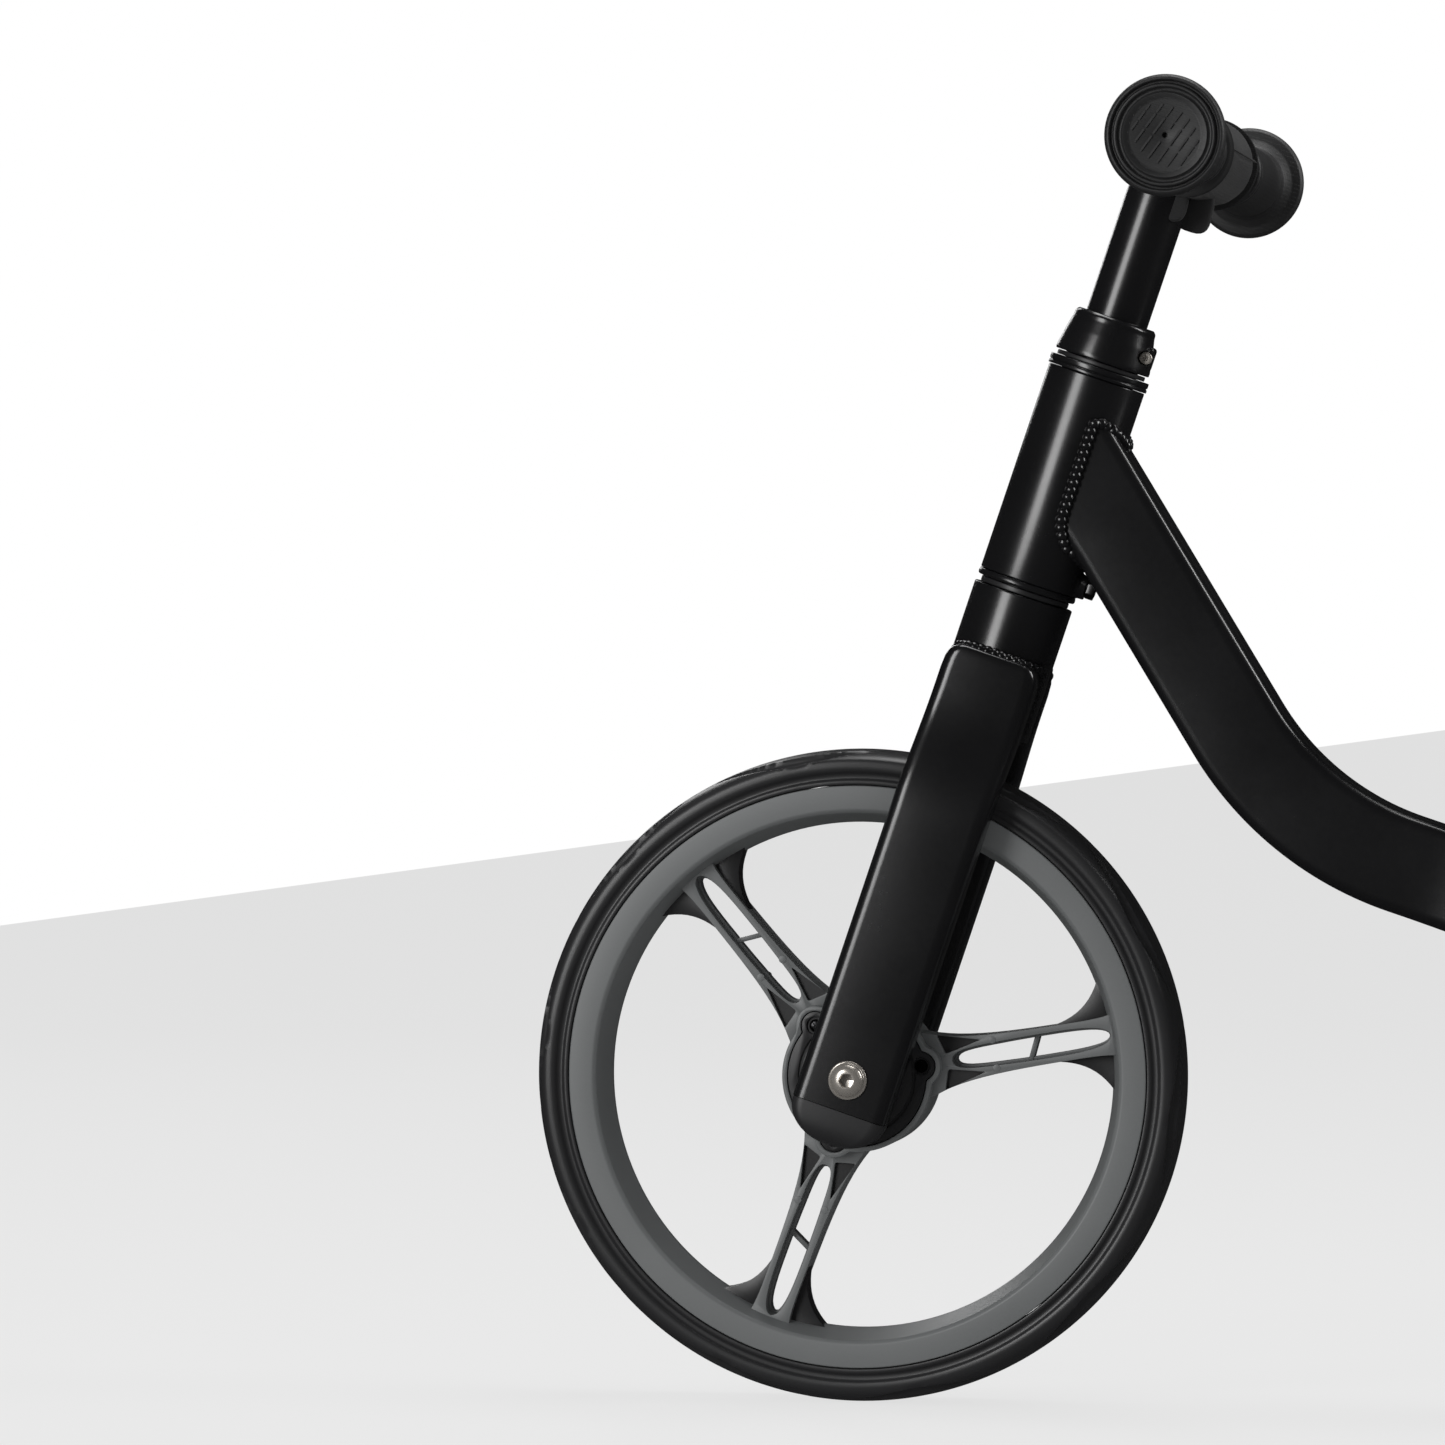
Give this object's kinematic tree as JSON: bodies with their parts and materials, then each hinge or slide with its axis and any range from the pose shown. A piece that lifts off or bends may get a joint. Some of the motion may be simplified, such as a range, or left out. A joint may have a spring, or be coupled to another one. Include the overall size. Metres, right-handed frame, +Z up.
{
  "type": "balance bike",
  "caption": "Child's balance bike with foam-tyred spoked wheels, a fork and frame of flat rounded tube, a padded handlebar and a padded saddle, both height-adjustable.",
  "frame": {"origin": "on the ground, midway between the two tyres' outer ends, in the bike's middle plane", "axes": "-X is the way the bike rolls forward, -Y is the rider's left, +Z is up"},
  "size_m": [0.84, 0.384, 0.5863],
  "materials": {
    "frame_paint": "satin to gloss black paint",
    "black_plastic": "moulded black plastic",
    "rim": "moulded slate grey plastic",
    "tyre": "matte black foam",
    "grip": "soft black rubber",
    "bar_pad": "black stretch fabric over foam",
    "saddle_cover": "black leather-look cover",
    "fastener": "polished zinc-plated steel",
    "axle_steel": "plain steel"
  },
  "bodies": {
    "frame": {"beam_end_cap_left": "black_plastic", "beam_end_cap_right": "black_plastic", "frame_beam_left": "frame_paint", "frame_beam_right": "frame_paint", "head_tube": "frame_paint", "headset_cup_lower": "frame_paint", "headset_cup_upper": "frame_paint", "rear_axle": "axle_steel", "rear_axle_bolt_left": "fastener", "rear_axle_bolt_right": "fastener", "rear_spacer_left": "black_plastic", "rear_spacer_right": "black_plastic", "seat_clamp_bolt": "fastener", "seat_collar": "frame_paint", "seat_tube": "frame_paint", "steering_stop_bolt": "fastener"},
    "fork": {"fork_end_cap_left": "black_plastic", "fork_end_cap_right": "black_plastic", "fork_leg_left": "frame_paint", "fork_leg_right": "frame_paint", "fork_steerer": "frame_paint", "front_axle": "axle_steel", "front_axle_bolt_left": "fastener", "front_axle_bolt_right": "fastener", "front_spacer_left": "black_plastic", "front_spacer_right": "black_plastic", "headset_ring_lower": "black_plastic", "headset_ring_upper": "black_plastic", "stem_clamp_bolt": "fastener", "stem_collar": "frame_paint"},
    "front_wheel": {"front_bearing_left": "axle_steel", "front_bearing_right": "axle_steel", "front_cover_screw_1": "fastener", "front_cover_screw_2": "fastener", "front_cover_screw_3": "fastener", "front_hub_cover_left": "black_plastic", "front_hub_cover_right": "black_plastic", "front_rim": "rim", "front_tyre": "tyre"},
    "handlebar": {"grip_left": "grip", "grip_right": "grip", "handlebar_crossbar": "frame_paint", "handlebar_pad": "bar_pad", "handlebar_stem": "frame_paint"},
    "rear_wheel": {"rear_bearing_left": "axle_steel", "rear_bearing_right": "axle_steel", "rear_cover_screw_1": "fastener", "rear_cover_screw_2": "fastener", "rear_cover_screw_3": "fastener", "rear_hub_cover_left": "black_plastic", "rear_hub_cover_right": "black_plastic", "rear_rim": "rim", "rear_tyre": "tyre"},
    "saddle": {"saddle_base": "black_plastic", "saddle_pad": "saddle_cover", "seat_post": "frame_paint"}
  },
  "joints": [
    {"name": "steering", "type": "hinge", "parent": "frame", "child": "fork", "pos_m": [-0.18364, 0, 0.41619], "axis": [0.314, 0, 0.9494], "range_deg": [-50, 50]},
    {"name": "front_wheel_spin", "type": "hinge", "parent": "fork", "child": "front_wheel", "pos_m": [-0.2725, 0, 0.1475], "axis": [0, 1, 0], "continuous": true},
    {"name": "rear_wheel_spin", "type": "hinge", "parent": "frame", "child": "rear_wheel", "pos_m": [0.2725, 0, 0.1475], "axis": [0, 1, 0], "continuous": true},
    {"name": "handlebar_height", "type": "slide", "parent": "fork", "child": "handlebar", "axis": [0.314, 0, 0.9494], "range_m": [-0.045, 0.03]},
    {"name": "saddle_height", "type": "slide", "parent": "frame", "child": "saddle", "axis": [0.342, 0, 0.9397], "range_m": [-0.025, 0.035]}
  ]
}
